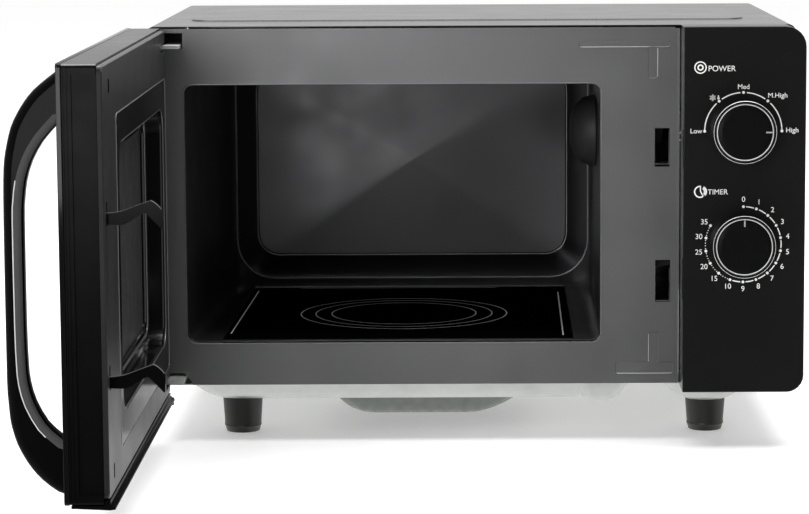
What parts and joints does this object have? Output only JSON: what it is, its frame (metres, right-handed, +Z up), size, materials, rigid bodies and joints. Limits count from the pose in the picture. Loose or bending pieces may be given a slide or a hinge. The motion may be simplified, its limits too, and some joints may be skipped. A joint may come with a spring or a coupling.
{
  "type": "microwave oven",
  "caption": "Countertop flatbed microwave oven with a side-hinged glass door and bow handle, rotary power and timer dials, glass-ceramic cavity floor and inner workings.",
  "frame": {"origin": "on the table plane under the feet, at the middle of the box around the oven with its door open at a right angle", "axes": "+X to the control side seen from the front, +Y from the front to the rear wall, +Z up"},
  "size_m": [0.5085, 0.6936, 0.2958],
  "materials": {
    "aluminium": "plain sheet",
    "black_ceramic": "opaque black glass-ceramic",
    "black_paint": "gloss black paint",
    "board_green": "circuit board",
    "bright_steel": "plain bright steel",
    "foot_plastic": "dark grey moulded",
    "gloss_black_plastic": "gloss black",
    "grey_paint": "satin metallic grey enamel",
    "laminated_iron": "laminated core with copper winding",
    "lamp_glass": "clear bulb",
    "matt_black_plastic": "matt black",
    "smoked_glass": "smoked tempered glass",
    "white_plastic": "white moulded",
    "zinc_steel": "zinc-coated sheet"
  },
  "bodies": {
    "oven": {"outer_case": "black_paint", "rear_panel": "zinc_steel", "cord_inlet_grommet": "matt_black_plastic", "base_pan": "zinc_steel", "stirrer_motor_cover": "zinc_steel", "foot_front_left": "foot_plastic", "foot_front_right": "foot_plastic", "foot_rear_left": "foot_plastic", "foot_rear_right": "foot_plastic", "front_plate": "grey_paint", "cavity_liner": "grey_paint", "ceramic_floor_plate": "black_ceramic", "stirrer_well": "zinc_steel", "waveguide": "aluminium", "cavity_dome": "grey_paint", "stirrer_motor": "zinc_steel", "magnetron": "zinc_steel", "hv_transformer": "laminated_iron", "hv_capacitor": "aluminium", "hv_diode": "matt_black_plastic", "fan_shroud": "matt_black_plastic", "fan_motor": "laminated_iron", "noise_filter_board": "board_green", "thermal_cutout_magnetron": "bright_steel", "thermal_cutout_cavity": "bright_steel", "oven_lamp": "lamp_glass", "lamp_socket": "white_plastic", "control_panel": "gloss_black_plastic", "power_switch": "white_plastic", "timer_unit": "white_plastic", "latch_board": "matt_black_plastic", "microswitch_upper": "matt_black_plastic", "microswitch_middle": "matt_black_plastic", "microswitch_lower": "matt_black_plastic", "upper_hinge": "bright_steel", "lower_hinge": "bright_steel"},
    "door": {"door_front_glass": "smoked_glass", "door_frame": "matt_black_plastic", "door_inner_panel": "black_paint", "door_screen": "black_paint", "door_window_border": "gloss_black_plastic", "door_bottom_trim": "matt_black_plastic", "handle": "gloss_black_plastic", "latch_spring": "bright_steel"},
    "latch": {"door_latch": "matt_black_plastic"},
    "power_dial": {"power_knob": "gloss_black_plastic", "power_shaft": "bright_steel"},
    "timer_dial": {"timer_knob": "gloss_black_plastic", "timer_shaft": "bright_steel"},
    "cooling_fan": {"fan_blade": "matt_black_plastic"},
    "stirrer": {"mode_stirrer": "aluminium", "stirrer_shaft": "white_plastic"}
  },
  "joints": [
    {"name": "door_hinge", "type": "hinge", "parent": "oven", "child": "door", "pos_m": [-0.19845, 0.0209, 0.165], "axis": [0, 0, 1], "range_deg": [-10, 90]},
    {"name": "latch_slide", "type": "slide", "parent": "door", "child": "latch", "axis": [0, 0, 1], "range_m": [0, 0.005], "stiffness_N_per_m": 150, "springref_m": -0.008, "deforming": ["latch_spring"]},
    {"name": "power_dial_turn", "type": "hinge", "parent": "oven", "child": "power_dial", "pos_m": [0.21115, -0.0102, 0.2234], "axis": [0, -1, 0], "range_deg": [0, 180]},
    {"name": "timer_dial_turn", "type": "hinge", "parent": "oven", "child": "timer_dial", "pos_m": [0.21115, -0.0102, 0.144], "axis": [0, 1, 0], "range_deg": [0, 300]},
    {"name": "cooling_fan_spin", "type": "hinge", "parent": "oven", "child": "cooling_fan", "pos_m": [0.17995, 0.3248, 0.165], "axis": [0, 1, 0], "continuous": true},
    {"name": "stirrer_spin", "type": "hinge", "parent": "oven", "child": "stirrer", "pos_m": [-0.02905, 0.1598, 0.055], "axis": [0, 0, 1], "continuous": true}
  ]
}
